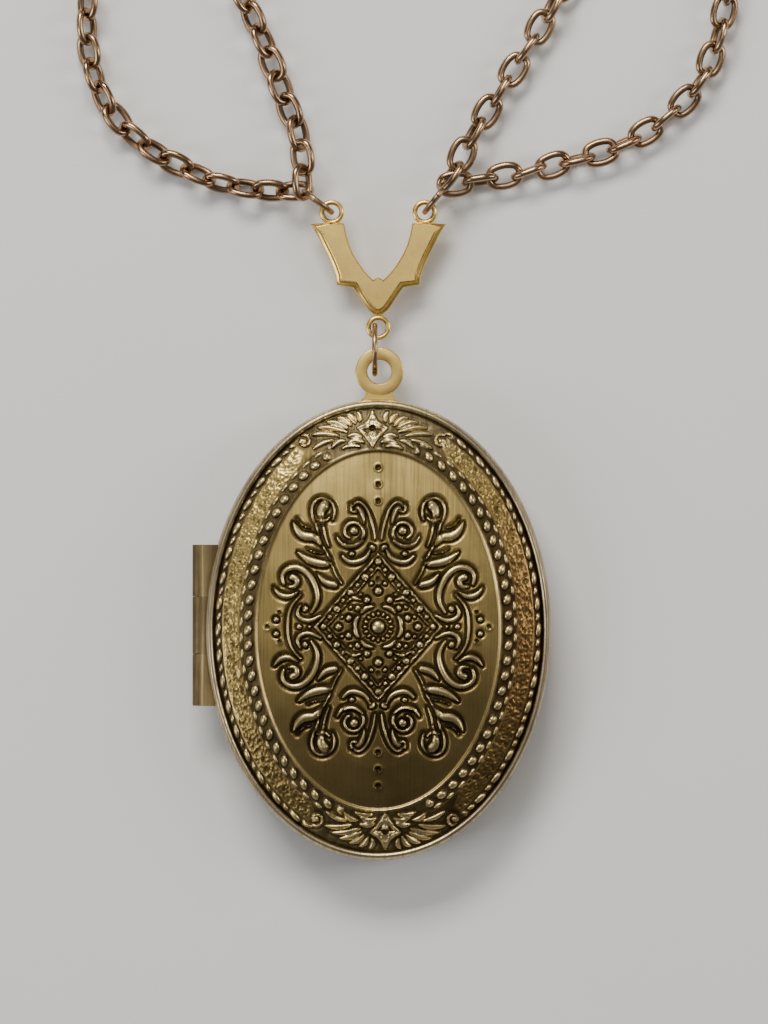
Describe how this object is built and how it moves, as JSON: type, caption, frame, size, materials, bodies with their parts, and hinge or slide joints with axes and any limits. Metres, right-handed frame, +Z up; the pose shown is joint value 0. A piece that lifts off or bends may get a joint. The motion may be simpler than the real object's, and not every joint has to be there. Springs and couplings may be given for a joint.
{
  "type": "locket necklace",
  "caption": "Oval photo locket that opens on a side hinge, hung by a ring and a V connector from a double-strand cable chain with a lobster clasp, laid flat.",
  "frame": {"origin": "centre of the flat field of the locket's back cover, on the surface that the necklace lies on", "axes": "+Y from the locket towards the connector and the clasp, +X to the right seen from the front cover, +Z up out of the front cover"},
  "size_m": [0.0588, 0.1623, 0.0075],
  "materials": {
    "antique_brass": "satin",
    "antique_brass_front": "satin",
    "hinge_brass": "satin",
    "bright_brass": "polished",
    "frame_brass": "satin",
    "ring_brass": "satin",
    "chain_brass": "satin",
    "clasp_brass": "satin",
    "spring_steel": "satin",
    "clear_film": "gloss",
    "blank_card": "matte"
  },
  "bodies": {
    "chain": {"chain_left_outer": "chain_brass", "chain_left_inner": "chain_brass", "chain_right_inner": "chain_brass", "chain_right_outer": "chain_brass", "side_ring_left": "ring_brass", "side_ring_right": "ring_brass", "end_ring_left": "ring_brass", "end_ring_right": "ring_brass", "clasp_body": "clasp_brass", "clasp_rivet": "clasp_brass", "clasp_spring": "spring_steel"},
    "clasp_lever": {"clasp_lever": "clasp_brass"},
    "connector": {"v_connector": "bright_brass"},
    "pendant_ring": {"pendant_ring": "ring_brass"},
    "locket": {"back_cover": "antique_brass", "hinge_leaf_back": "hinge_brass", "hinge_pin": "bright_brass", "photo_frame_back": "frame_brass", "window_back": "clear_film", "photo_card_back": "blank_card", "catch_tongue": "frame_brass", "bail": "bright_brass"},
    "lid": {"front_cover": "antique_brass_front", "hinge_leaf_front": "hinge_brass", "photo_frame_front": "frame_brass", "window_front": "clear_film", "photo_card_front": "blank_card"}
  },
  "joints": [
    {"name": "connector_swing", "type": "hinge", "parent": "chain", "child": "connector", "pos_m": [0, 0.03635, 0.0022], "axis": [-1, 0, 0], "range_deg": [0, 40]},
    {"name": "pendant_ring_swing", "type": "hinge", "parent": "connector", "child": "pendant_ring", "pos_m": [-0.0003, 0.0263, 0.0022], "axis": [-1, 0, 0], "range_deg": [0, 20]},
    {"name": "locket_swing", "type": "hinge", "parent": "pendant_ring", "child": "locket", "pos_m": [-0.0003, 0.0223, 0.0027], "axis": [-1, 0, 0], "range_deg": [0, 30]},
    {"name": "lid_hinge", "type": "hinge", "parent": "locket", "child": "lid", "pos_m": [-0.0155, 0.0004, 0.00375], "axis": [0, -1, 0], "range_deg": [0, 170]},
    {"name": "clasp_lever_hinge", "type": "hinge", "parent": "chain", "child": "clasp_lever", "pos_m": [0.0017, 0.06535, 0.0021], "axis": [0, 0, -1], "range_deg": [0, 20], "stiffness_Nm_per_rad": 0.0005}
  ]
}
